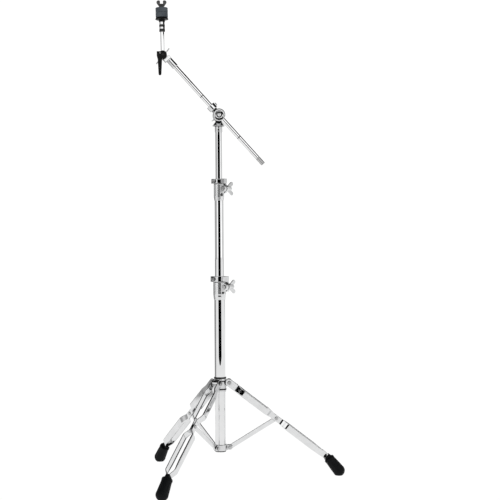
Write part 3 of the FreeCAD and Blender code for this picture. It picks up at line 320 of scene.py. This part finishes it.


# Where a finish ends with a reach in mm, painted shade blackens it that far from corners and gaps.
FINISHES = {
    "tube_chrome": {"light": grey(0.76, -0.003), "dark": grey(0.72, -0.003),
                    "roughness": (0.0, 0.012), "grain": []},
    "boom_chrome": {"light": grey(0.84, -0.003), "dark": grey(0.80, -0.003),
                    "roughness": (0.02, 0.04), "grain": []},
    "leg_chrome": {"light": grey(0.74, -0.004), "dark": grey(0.68, -0.004),
                   "roughness": (0.05, 0.11), "grain": [(60.0, 0.010)], "painted_shade_reach": 4.0},
    "cast_chrome": {"light": grey(0.72, -0.004), "dark": grey(0.62, -0.004),
                    "roughness": (0.04, 0.11), "grain": [(60.0, 0.08), (420.0, 0.006)], "painted_shade_reach": 8.0},
    "clamp_chrome": {"light": grey(0.76, -0.004), "dark": grey(0.66, -0.004),
                     "roughness": (0.20, 0.28), "grain": [(60.0, 0.05), (420.0, 0.006)], "painted_shade_reach": 8.0},
    "collar_chrome": {"light": grey(0.70, -0.004), "dark": grey(0.58, -0.004),
                      "roughness": (0.04, 0.10), "grain": [(60.0, 0.10), (420.0, 0.006)],
                      "painted_shade_reach": 16.0},
    "polished_cap": {"light": grey(0.74, -0.003), "dark": grey(0.70, -0.003),
                     "roughness": (0.01, 0.03), "grain": []},
    "dark_metal": {"light": grey(0.07), "dark": grey(0.04),
                   "roughness": (0.12, 0.22), "grain": [(300.0, 0.01)]},
    "steel": {"light": grey(0.55), "dark": grey(0.42),
              "roughness": (0.12, 0.25), "grain": [(300.0, 0.02)], "painted_shade_reach": 5.0},
    "rubber": {"light": grey(0.004, -0.0006), "dark": grey(0.002, -0.0003), "roughness": (0.45, 0.6),
               "grain": [(130.0, 0.10), (900.0, 0.02)], "metallic": 0.0, "gloss": 0.10},
    "black_plastic": {"light": grey(0.004), "dark": grey(0.002), "roughness": (0.28, 0.42),
                      "grain": [(500.0, 0.015)], "metallic": 0.0, "gloss": 0.12},
    "nylon": {"light": grey(0.02), "dark": grey(0.012), "roughness": (0.35, 0.5),
              "grain": [(350.0, 0.01)], "metallic": 0.0, "gloss": 0.3},
    "felt": {"light": grey(0.085, -0.010), "dark": grey(0.050, -0.007), "roughness": (0.9, 1.0),
             "grain": [(260.0, 0.5), (1500.0, 0.16)], "metallic": 0.0, "gloss": 0.1},
    # Black for the boom's marks and the lever's bolt cap, and also for the rings of painted shade on the
    # collar and painted reflection on the tilter cap.
    "dark_line": {"light": grey(0.012), "dark": grey(0.006), "roughness": (0.4, 0.6),
                  "grain": [(500.0, 0.01)], "metallic": 0.0, "gloss": 0.2},
}
MATERIALS = {name: surface(name, **finish) for name, finish in FINISHES.items()}

SLOTS = {entry["node"]: entry["material_slot"] for entry in frame["record"]["subparts"]}
BODIES = {}
for body, nodes in frame["record"]["behaviour"]["bodies"].items():
    BODIES.update(dict.fromkeys(nodes, body))


# ---- mesh helpers ----------------------------------------------------------------------------------

SHARP = math.radians(32)


def finish_piece(piece, finish, body, replaced=()):
    """Give a piece its finish, the body it rides on and the CAD nodes it stands for."""
    piece.data.materials.clear()
    piece.data.materials.append(MATERIALS[finish])
    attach(piece, body)
    if replaced:
        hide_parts(*replaced)
    return piece


def piece_from(build, name):
    """A linked object from a filled bmesh, smooth except at its corners."""
    bmesh.ops.recalc_face_normals(build, faces=build.faces)
    for face in build.faces:
        face.smooth = True
    for edge in build.edges:
        edge.smooth = len(edge.link_faces) == 2 and edge.calc_face_angle(0.0) < SHARP
    mesh = bpy.data.meshes.new(name)
    build.to_mesh(mesh)
    build.free()
    piece = bpy.data.objects.new(name, mesh)
    bpy.context.scene.collection.objects.link(piece)
    return piece


def circle(radius, height, where, relief, sides):
    """Points, in the frame, of one ring of a turned piece; radius and height are in mm."""
    points = []
    for step in range(sides):
        angle = 2 * math.pi * step / sides
        reach = radius + (relief(angle, height) if relief else 0.0)
        points.append(where @ (Vector((reach * math.cos(angle), reach * math.sin(angle), height)) * MM))
    return points


def lathe(name, profile, where, closed=False, relief=None, sides=96):
    """A piece turned about local Z from (radius, height) points in mm.

    relief(angle, height) adds to the radius.
    """
    build = bmesh.new()
    rings = []
    for radius, height in profile:
        if radius == 0:
            points = [where @ Vector((0, 0, height * MM))]
        else:
            points = circle(radius, height, where, relief, sides)
        rings.append([build.verts.new(point) for point in points])
    pairs = list(zip(rings, rings[1:]))
    if closed:
        pairs.append((rings[-1], rings[0]))
    for first, second in pairs:
        for step in range(sides):
            after = (step + 1) % sides
            if len(first) == 1:
                build.faces.new((first[0], second[step], second[after]))
            elif len(second) == 1:
                build.faces.new((first[step], second[0], first[after]))
            else:
                build.faces.new((first[step], second[step], second[after], first[after]))
    return piece_from(build, name)


def sweep(name, sections, where):
    """A piece lofted through cross-sections of (x, y, z) points in mm, closed at both ends."""
    build = bmesh.new()
    rings = [[build.verts.new(where @ (Vector(point) * MM)) for point in section] for section in sections]
    for first, second in zip(rings, rings[1:]):
        count = len(first)
        for step in range(count):
            after = (step + 1) % count
            build.faces.new((first[step], second[step], second[after], first[after]))
    build.faces.new(rings[0])
    build.faces.new(rings[-1])
    return piece_from(build, name)


SMOOTHING = 0.5


def soften(node, voxel, rounds, finish=None):
    """The cast or pressed form of a CAD node, with its corners rounded over; voxel is in mm."""
    piece = bpy.data.objects.new(node + "_form", frame["nodes"][node].data.copy())
    bpy.context.scene.collection.objects.link(piece)
    form = piece.modifiers.new("form", "REMESH")
    form.mode = "VOXEL"
    form.voxel_size = voxel * MM
    form.use_smooth_shade = True
    ease = piece.modifiers.new("ease", "SMOOTH")
    ease.factor = SMOOTHING
    ease.iterations = rounds
    return finish_piece(piece, finish or SLOTS[node], BODIES[node], [node])


def soften_all(groups):
    """Soften groups of CAD nodes, each given as (nodes, voxel, rounds, finish)."""
    for nodes, voxel, rounds, finish in groups:
        for node in nodes:
            soften(node, voxel, rounds, finish)


def tube_profile(inner, outer, low, high, edge=0.6):
    """Profile of a tube with eased ends."""
    return [(inner, low), (outer - edge, low), (outer, low + edge), (outer, high - edge),
            (outer - edge, high), (inner, high)]


# ---- mast ------------------------------------------------------------------------------------------

MAST_TUBES = {
    "lower_tube": {"inner": 13.3, "outer": 15.0, "low": 77.0, "high": 520.0},
    "middle_tube": {"inner": 11.0, "outer": 12.5, "low": 346.0, "high": 795.0},
    "upper_tube": {"inner": 7.8, "outer": 9.5, "low": 644.0, "high": 990.0},
}
# Turned profiles are (radius, height) points in mm.
BUSHING = [(15.06, 279.0), (16.9, 279.0), (17.4, 279.6), (17.4, 280.5), (17.0, 280.9), (17.0, 281.3),
           (17.4, 281.7), (17.4, 282.5), (16.8, 283.0), (15.06, 283.0)]
# Painted shade: two dark rings round the collar, each given as (low, high) in mm, with their radii below.
COLLAR_SHADE_BANDS = {"collar_lower_painted_shade": (247.2, 250.8), "collar_upper_painted_shade": (270.2, 273.2)}
COLLAR_SHADE_RADII = (16.6, 17.5)
# CAD nodes with the voxel in mm, the rounds of smoothing and a finish other than their slot's.
MAST_FORMS = [
    (("lower_memory_lock", "upper_memory_lock"), 0.7, 5, None),
    (("lower_clamp", "upper_clamp"), 0.7, 5, "clamp_chrome"),
    (("brace_hub", "leg_collar"), 0.7, 5, "collar_chrome"),
    (("hub_pivot_bolts", "leg_pivot_bolts", "collar_lock_screw", "lower_lock_screw", "upper_lock_screw",
      "lower_clamp_bolt", "upper_clamp_bolt"), 0.4, 2, None),
    (("lower_clamp_rivet", "upper_clamp_rivet"), 0.4, 2, "dark_metal"),
    (("lower_wing_nut", "upper_wing_nut", "tilter_wing_nut", "tilter_wing_bolt"), 0.5, 5, None),
    (("cymbal_wing_nut",), 0.5, 5, "dark_metal"),
]


def make_mast():
    for node, sizes in MAST_TUBES.items():
        tube = lathe(node + "_form", tube_profile(**sizes), UPRIGHT, True, sides=160)
        finish_piece(tube, "tube_chrome", BODIES[node], [node])
    bushing = lathe("collar_bushing_form", BUSHING, UPRIGHT, True)
    finish_piece(bushing, "black_plastic", "collar", ["collar_bushing"])
    inner, outer = COLLAR_SHADE_RADII
    # Dark rings of painted shade round the collar.
    for name, (low, high) in COLLAR_SHADE_BANDS.items():
        line = [(inner, low), (outer, low), (outer, high), (inner, high)]
        finish_piece(lathe(name, line, UPRIGHT, True), "dark_line", "collar")
    soften_all(MAST_FORMS)


# ---- legs ------------------------------------------------------------------------------------------

LEG_AZIMUTHS = {"right": 0, "back": 120, "left": 240}
LEG_PIVOT = (25.0, 0.0, 267.0)
LEG_SLOPE = 37.8
LEG_REACH = 370.0
STRIP_HALF_THICK = 1.0
STRIP_FULL, STRIP_PINCH, STRIP_TIP = 10.5, 8.0, 7.0
LIP_LONG, LIP_BEVEL, LIP_BACK, LIP_ROOT = 1.4, 0.3, 0.5, 1.6
EDGE_ROUND, LIP_ROUND = 0.8, 3.1
PINCH_START, PINCH_END, BEND = 152.6, 182.6, 24.0
# Half the distance between the strips, half their height and the share of the full lip, each as
# (distance along the leg, value).
SPREADS = [(0.0, 11.3), (25.0, 11.3), (50.0, 17.0), (PINCH_START - BEND, 17.0), (PINCH_START, 3.3),
           (PINCH_END, 3.3), (PINCH_END + BEND, 14.4), (350.0 - BEND, 14.4), (350.0, 4.2),
           (LEG_REACH, 4.2)]
HEIGHTS = [(0.0, STRIP_FULL), (PINCH_START - BEND, STRIP_FULL), (PINCH_START, STRIP_PINCH),
           (PINCH_END, STRIP_PINCH), (PINCH_END + BEND, STRIP_FULL), (LEG_REACH - 75.0, STRIP_FULL),
           (LEG_REACH, STRIP_TIP)]
LIPS = [(14.0, 0.0), (40.0, 1.0), (PINCH_START - BEND - 6, 1.0), (PINCH_START - 2, 0.0),
        (PINCH_END + 2, 0.0), (PINCH_END + BEND + 6, 1.0), (300.0, 1.0), (345.0, 0.0)]
ROUND_END = [-10.49, -10.2, -9.5, -8.0, -6.0, -3.0]
STATION_STEP = 3.0
STATIONS = ROUND_END + [STATION_STEP * step for step in range(int(LEG_REACH // STATION_STEP))]
STATIONS.append(LEG_REACH)
# Middle of the half ball at the foot of the right boot.
BALL = (334.0, 0.0, 14.0)
BOOT_LEAN = 39.0
BOOT_RADIUS = 17.0
BOOT_TAPER = 0.0696
BALL_STEPS = 12
FLUTES = 10
FLUTE_LOW, FLUTE_HIGH = 2.0, 36.0
FLUTE_DEPTH = 0.35
FLUTE_SINK = 0.2
# Distance along the leg, half width and half height of the sleeve between the strips and the boot.
SLEEVE_SECTIONS = [(345.5, 5.6, 9.4), (346.3, 6.4, 10.2), (352.0, 6.8, 10.4), (362.0, 7.0, 10.0)]
SLEEVE_SIDES = 32


def along(levels, station, eased):
    """Value at a distance along the leg, from a list of (distance, value), with soft bends if eased."""
    if station <= levels[0][0]:
        return levels[0][1]
    for (start, first), (end, second) in zip(levels, levels[1:]):
        if station <= end:
            share = (station - start) / (end - start)
            if eased:
                share = 0.5 - 0.5 * math.cos(math.pi * share)
            return first + (second - first) * share
    return levels[-1][1]


def strip_section(station, side):
    """Channel cross-section of a strip: a flat web with rolled lips turned towards the other strip."""
    middle = along(SPREADS, station, True)
    half = along(HEIGHTS, station, False)
    if station < 0:
        half = math.sqrt(max(STRIP_FULL ** 2 - station ** 2, 0.04))
    share = along(LIPS, station, True)
    lip = LIP_LONG * share
    outer, inner = middle + STRIP_HALF_THICK, middle - STRIP_HALF_THICK
    turn = min(EDGE_ROUND + (LIP_ROUND - EDGE_ROUND) * share, half * 0.3)
    root = min(LIP_ROOT, half * 0.5)
    step = min(0.5, 0.1 * half)
    upper = [(outer, half - turn - step)]
    for quarter in range(5):
        angle = math.radians(22.5 * quarter)
        upper.append((outer - turn + turn * math.cos(angle), half - turn + turn * math.sin(angle)))
    bevel = inner - lip + LIP_BEVEL - LIP_BACK
    upper += [(bevel, half), (inner - lip - LIP_BACK, half - 0.4 * root), (bevel, half - 0.85 * root),
              (inner - 0.1 * lip, half - root), (inner, half - 1.3 * root),
              (inner, half - 1.3 * root - step)]
    lower = [(across, -up) for across, up in reversed(upper)]
    return [(station, side * across, up) for across, up in upper + lower]


def boot_relief(angle, height):
    """Shallow flutes down the side of a rubber boot."""
    if not FLUTE_LOW < height < FLUTE_HIGH:
        return 0.0
    share = math.sin(math.pi * (height - FLUTE_LOW) / (FLUTE_HIGH - FLUTE_LOW))
    return FLUTE_DEPTH * math.cos(FLUTES * angle) * share - FLUTE_SINK


def boot_profile():
    """A half ball, a tapering side and a bead round the top."""
    profile = [(0.0, -BOOT_RADIUS)]
    for step in range(1, BALL_STEPS):
        turn = math.radians(90 - step * 90 / BALL_STEPS)
        profile.append((BOOT_RADIUS * math.cos(turn), -BOOT_RADIUS * math.sin(turn)))
    profile += [(BOOT_RADIUS - BOOT_TAPER * height, float(height)) for height in range(0, 40, 3)]
    profile += [(14.3, 39.6), (14.9, 40.4), (14.9, 43.4), (14.2, 45.2), (13.0, 46.0), (10.6, 46.0),
                (10.2, 44.5), (0.0, 44.5)]
    return profile


def sleeve_section(station, wide, tall):
    """Rounded rectangle round both strips, where they enter the boot."""
    points = []
    for step in range(SLEEVE_SIDES):
        angle = 2 * math.pi * step / SLEEVE_SIDES
        across = math.copysign(abs(math.cos(angle)) ** 0.5, math.cos(angle)) * wide
        up = math.copysign(abs(math.sin(angle)) ** 0.5, math.sin(angle)) * tall
        points.append((station, across, up))
    return points


def make_boot(name, spin):
    place = spin @ shift(*BALL) @ Matrix.Rotation(math.radians(-BOOT_LEAN), 4, "Y")
    boot = lathe(name + "_foot_form", boot_profile(), place, relief=boot_relief)
    for vertex in boot.data.vertices:
        vertex.co.z = max(vertex.co.z, 0.0)
    finish_piece(boot, "rubber", name + "_leg", [name + "_foot"])


def make_legs():
    for name, azimuth in LEG_AZIMUTHS.items():
        spin = Matrix.Rotation(math.radians(azimuth), 4, "Z")
        leg = spin @ shift(*LEG_PIVOT) @ Matrix.Rotation(math.radians(LEG_SLOPE), 4, "Y")
        for letter, side in (("a", -1), ("b", 1)):
            node = "%s_leg_strip_%s" % (name, letter)
            strip = sweep(node + "_form", [strip_section(station, side) for station in STATIONS], leg)
            finish_piece(strip, "leg_chrome", name + "_leg", [node])
        make_boot(name, spin)
        sleeve = sweep(name + "_foot_sleeve", [sleeve_section(*sizes) for sizes in SLEEVE_SECTIONS], leg)
        finish_piece(sleeve, "rubber", name + "_leg")
        soften(name + "_leg_rivets", 0.4, 2)
        soften(name + "_brace", 0.7, 4)


# ---- boom and tilter -------------------------------------------------------------------------------

BOOM_RADIUS = 6.35
BOOM_BORE = 4.9
BOOM_LOW, BOOM_HIGH = -160.0, 199.0
BOOM_EDGE = 0.35
MARKS = {"boom_mark_17": -83.0, "boom_mark_170": 70.0}
MARK_HALF = 1.0
MARK_DEPTH_RADIUS = 6.0
GRIP_LOW = -184.0
GRIP_BORE = 4.85
GRIP_INSIDE = 16.0
GRIP_SIDES = 208
KNURLS = 26
KNURL_TWIST = 3.2
KNURL_DEPTH = 0.2
KNURL_STEP = 0.4
KNURL_STEPS = 51

# The tilter's front cap, as (radius, height over its back) from the middle out.
CAP_BOSS = [(0.0, 5.0), (1.6, 4.93), (3.0, 4.6), (4.2, 4.0), (5.2, 3.1), (5.9, 2.0), (6.3, 0.9)]
CAP_DISH = [(7.5, 0.7), (9.0, 0.9), (10.5, 1.3), (12.0, 2.0), (13.2, 2.8), (14.0, 3.5)]
CAP_RIM = [(14.6, 3.7), (15.4, 3.5), (16.2, 2.8), (16.6, 1.8), (16.6, 0.0), (0.0, 0.0)]
CAP_BACK = -35.3
# Inner radius, outer radius and height of each dark ring painted on the cap as a dark reflection.
CAP_PAINTED_REFLECTIONS = [(6.4, 8.4, 1.1), (10.2, 11.8, 2.1), (14.7, 15.7, 3.8)]
CAP_REFLECTION_THICK = 1.2
TILTER_FORMS = [
    (("tilter_base", "tilter_head", "boom_clamp_ring"), 0.6, 5, None),
    (("ratchet_disc",), 0.45, 2, None),
    (("boom_key_screw",), 0.35, 2, None),
]


def knurl(angle, height):
    """Crossed ridges of a knurled grip, cut into the metal."""
    if not GRIP_LOW + 1.9 < height < BOOM_LOW - 1.9:
        return 0.0
    turn = KNURLS * angle
    rise = height * KNURL_TWIST
    return -KNURL_DEPTH * (1 - abs(math.sin((turn + rise) / 2)) * abs(math.sin((turn - rise) / 2)))


def make_boom():
    low, high = BOOM_LOW, BOOM_HIGH
    profile = [(BOOM_BORE, low), (6.0, low), (BOOM_RADIUS, low + BOOM_EDGE)]
    for name, mark in MARKS.items():
        deep = MARK_DEPTH_RADIUS
        profile += [(BOOM_RADIUS, mark - MARK_HALF), (deep, mark - 0.8), (deep, mark + 0.8),
                    (BOOM_RADIUS, mark + MARK_HALF)]
        line = [(5.9, mark - 0.78), (6.3, mark - 0.78), (6.3, mark + 0.78), (5.9, mark + 0.78)]
        finish_piece(lathe(name, line, BOOM, True), "dark_line", "boom")
    profile += [(BOOM_RADIUS, high - BOOM_EDGE), (6.0, high), (BOOM_BORE, high)]
    boom = lathe("boom_tube_form", profile, BOOM, True, sides=128)
    finish_piece(boom, "boom_chrome", "boom", ["boom_tube"])
    grip = [(0.0, GRIP_LOW), (4.6, GRIP_LOW), (5.9, GRIP_LOW + 0.9), (BOOM_RADIUS, GRIP_LOW + 1.8)]
    grip += [(BOOM_RADIUS, GRIP_LOW + 2.0 + KNURL_STEP * step) for step in range(KNURL_STEPS)]
    grip += [(BOOM_RADIUS, low - 1.2), (6.0, low - 1.0), (6.0, low), (GRIP_BORE, low),
             (GRIP_BORE, low + GRIP_INSIDE), (0.0, low + GRIP_INSIDE)]
    plug = lathe("boom_end_grip_form", grip, BOOM, relief=knurl, sides=GRIP_SIDES)
    finish_piece(plug, "steel", "boom", ["boom_end_grip"])


def make_tilter():
    soften_all(TILTER_FORMS)
    front = shift(0, CAP_BACK, TILT_HEIGHT) @ Matrix.Rotation(math.radians(90), 4, "X")
    # Painted reflection: dark rings on the polished front cap.
    for number, (near, far, depth) in enumerate(CAP_PAINTED_REFLECTIONS, 1):
        under = depth - CAP_REFLECTION_THICK
        outline = [(near, under), (near, depth), (far, depth), (far, under)]
        line = lathe("tilter_cap_painted_reflection_%d" % number, outline, front, True)
        finish_piece(line, "dark_line", "tilter")
    cap = lathe("tilter_front_cap_form", CAP_BOSS + CAP_DISH + CAP_RIM, front)
    finish_piece(cap, "polished_cap", "tilter", ["tilter_front_cap"])


# ---- cymbal holder ---------------------------------------------------------------------------------

HOLDER_DISTANCE = 226.3
HOLDER_DROP = 4.85
HOLDER_LEAN = -1.0
HOLDER = (Matrix.Translation(BOOM @ Vector((-HOLDER_DROP * MM, 0, HOLDER_DISTANCE * MM)))
          @ Matrix.Rotation(math.radians(HOLDER_LEAN), 4, "Y"))
ROD_TOP, CUP_LOW, CUP_TOP, POST_TOP = 65.4, 92.4, 105.0, 143.0
ROD_RADIUS, POST_RADIUS = 5.25, 4.0
FELT_THICK, FELT_GAP = 13.4, 0.1
FELT_BORE, FELT_RADIUS = 5.65, 17.0
THREAD_PITCH, THREAD_DEPTH = 1.25, 0.35
TURNS_PER_PITCH = 4
RIBS, RIB_DEPTH = 28, 0.25
BAND_RADIUS, BAND_BEVEL, BAND_STEPS = 8.0, 0.6, 6
SEAT_BANDS = {"seat_band_low": (ROD_TOP, 72.8), "seat_band_high": (79.2, 85.2)}

LEVER_FACE = -19.2
HUB_RING = [(4.6, -0.6), (4.6, 0.25), (5.0, 0.45), (7.0, 0.45), (7.4, 0.25), (7.4, -0.6)]
BOLT_CAP = [(0.0, 1.9), (2.6, 1.7), (3.5, 0.9), (3.7, -0.6), (0.0, -0.6)]
LEVER_SCREW = [(0.0, 0.9), (0.9, 0.8), (1.7, 0.3), (1.9, -0.4), (0.0, -0.4)]
LEVER_SCREW_PLACE = (-7.6, 4.4, 0)

ROD = [(0.0, 4.0), (ROD_RADIUS, 4.0), (ROD_RADIUS, ROD_TOP - 0.4), (4.85, ROD_TOP), (0.0, ROD_TOP)]
ROD_EYE = [(3.05, -5.25), (8.7, -5.25), (9.5, -4.45), (9.5, 4.45), (8.7, 5.25), (3.05, 5.25)]
SLEEVE = [(POST_RADIUS, ROD_TOP), (6.9, ROD_TOP), (6.9, 72.6), (7.6, 73.2), (7.6, 78.4), (6.9, 79.0),
          (6.9, 85.0), (7.3, 85.6), (7.3, CUP_LOW), (POST_RADIUS, CUP_LOW)]
CUP = [(POST_RADIUS, CUP_LOW), (7.8, CUP_LOW), (8.5, CUP_LOW + 0.8), (8.5, 97.6), (9.4, 98.8),
       (12.0, 99.5), (16.8, 98.9), (17.7, 99.2), (18.0, 100.0), (17.7, 101.6), (16.6, 103.8),
       (15.4, 104.7), (14.0, CUP_TOP), (POST_RADIUS, CUP_TOP)]


def thread(angle, height):
    """Rolled thread of the cymbal post."""
    return -THREAD_DEPTH * abs(math.sin(math.pi * height / THREAD_PITCH + angle / 2))


def ribs(angle, height):
    """Upright ribs round a knurled band of the seat sleeve."""
    return -RIB_DEPTH * (0.5 + 0.5 * math.cos(RIBS * angle))


def felt_relief(angle, height):
    """Uneven edge of pressed felt."""
    return 0.10 * math.sin(7 * angle + 0.9 * height) + 0.08 * math.sin(13 * angle - 1.7 * height) - 0.12


def felt_profile(low, high):
    inner, outer = FELT_BORE, FELT_RADIUS
    return [(inner, low), (outer - 1.3, low), (outer - 0.5, low + 0.2), (outer - 0.1, low + 0.8),
            (outer, low + 2.0), (outer, (low + high) / 2), (outer, high - 2.0), (outer - 0.1, high - 0.8),
            (outer - 0.5, high - 0.2), (outer - 1.3, high), (inner, high)]


def make_lever():
    face = (Matrix.Translation(HOLDER.translation) @ shift(0, LEVER_FACE, 0)
            @ Matrix.Rotation(math.radians(90), 4, "X"))
    finish_piece(lathe("lever_hub_ring", HUB_RING, face, True), "black_plastic", "lever")
    finish_piece(lathe("lever_bolt_cap", BOLT_CAP, face), "dark_line", "lever")
    screw = lathe("lever_screw", LEVER_SCREW, face @ shift(*LEVER_SCREW_PLACE))
    finish_piece(screw, "steel", "lever")


def make_rod():
    """The rod, the eye at its foot and the threaded post on its top."""
    rod = lathe("cymbal_rod_form", ROD, HOLDER, sides=128)
    finish_piece(rod, "tube_chrome", "cymbal_rod", ["cymbal_rod"])
    across = HOLDER @ Matrix.Rotation(math.radians(90), 4, "X")
    finish_piece(lathe("cymbal_rod_eye", ROD_EYE, across, True), "cast_chrome", "cymbal_rod")
    rise = THREAD_PITCH / TURNS_PER_PITCH
    steps = round((POST_TOP - 1.0 - ROD_TOP) / THREAD_PITCH * TURNS_PER_PITCH)
    post = [(0.0, 62.0), (POST_RADIUS, 62.0)]
    post += [(POST_RADIUS, ROD_TOP + rise * step) for step in range(steps)]
    post += [(3.4, POST_TOP), (0.0, POST_TOP)]
    finish_piece(lathe("cymbal_post", post, HOLDER, relief=thread, sides=48), "tube_chrome", "cymbal_rod")


def make_seat():
    """The sleeve with its two knurled bands, the cup and the felts."""
    sleeve = lathe("seat_sleeve_form", SLEEVE, HOLDER, True)
    finish_piece(sleeve, "cast_chrome", "cymbal_rod", ["seat_sleeve"])
    for name, (low, high) in SEAT_BANDS.items():
        band = [(6.8, low), (7.5, low), (BAND_RADIUS, low + BAND_BEVEL)]
        band += [(BAND_RADIUS, low + BAND_BEVEL + (high - low - 2 * BAND_BEVEL) * step / BAND_STEPS)
                 for step in range(1, BAND_STEPS + 1)]
        band += [(7.5, high), (6.8, high)]
        finish_piece(lathe(name, band, HOLDER, True, ribs, 6 * RIBS), "dark_metal", "cymbal_rod")
    cup = lathe("seat_cup_form", CUP, HOLDER, True)
    finish_piece(cup, "black_plastic", "cymbal_rod", ["seat_cup"])
    low = CUP_TOP
    for node in ("lower_felt", "upper_felt"):
        felt = lathe(node + "_form", felt_profile(low, low + FELT_THICK), HOLDER, True, felt_relief)
        finish_piece(felt, "felt", "cymbal_rod", [node])
        low += FELT_THICK + FELT_GAP


def make_holder():
    soften_all([(("cymbal_tilter_fork", "tilter_lever"), 0.55, 5, None)])
    make_lever()
    make_rod()
    make_seat()


make_camera()
make_floor()
make_dark_sheets()
make_world()
make_lights()
bpy.context.scene.view_settings.view_transform = "Standard"

for node, item in frame["nodes"].items():
    item.data.materials.clear()
    item.data.materials.append(MATERIALS[SLOTS[node]])
make_mast()
make_legs()
make_boom()
make_tilter()
make_holder()
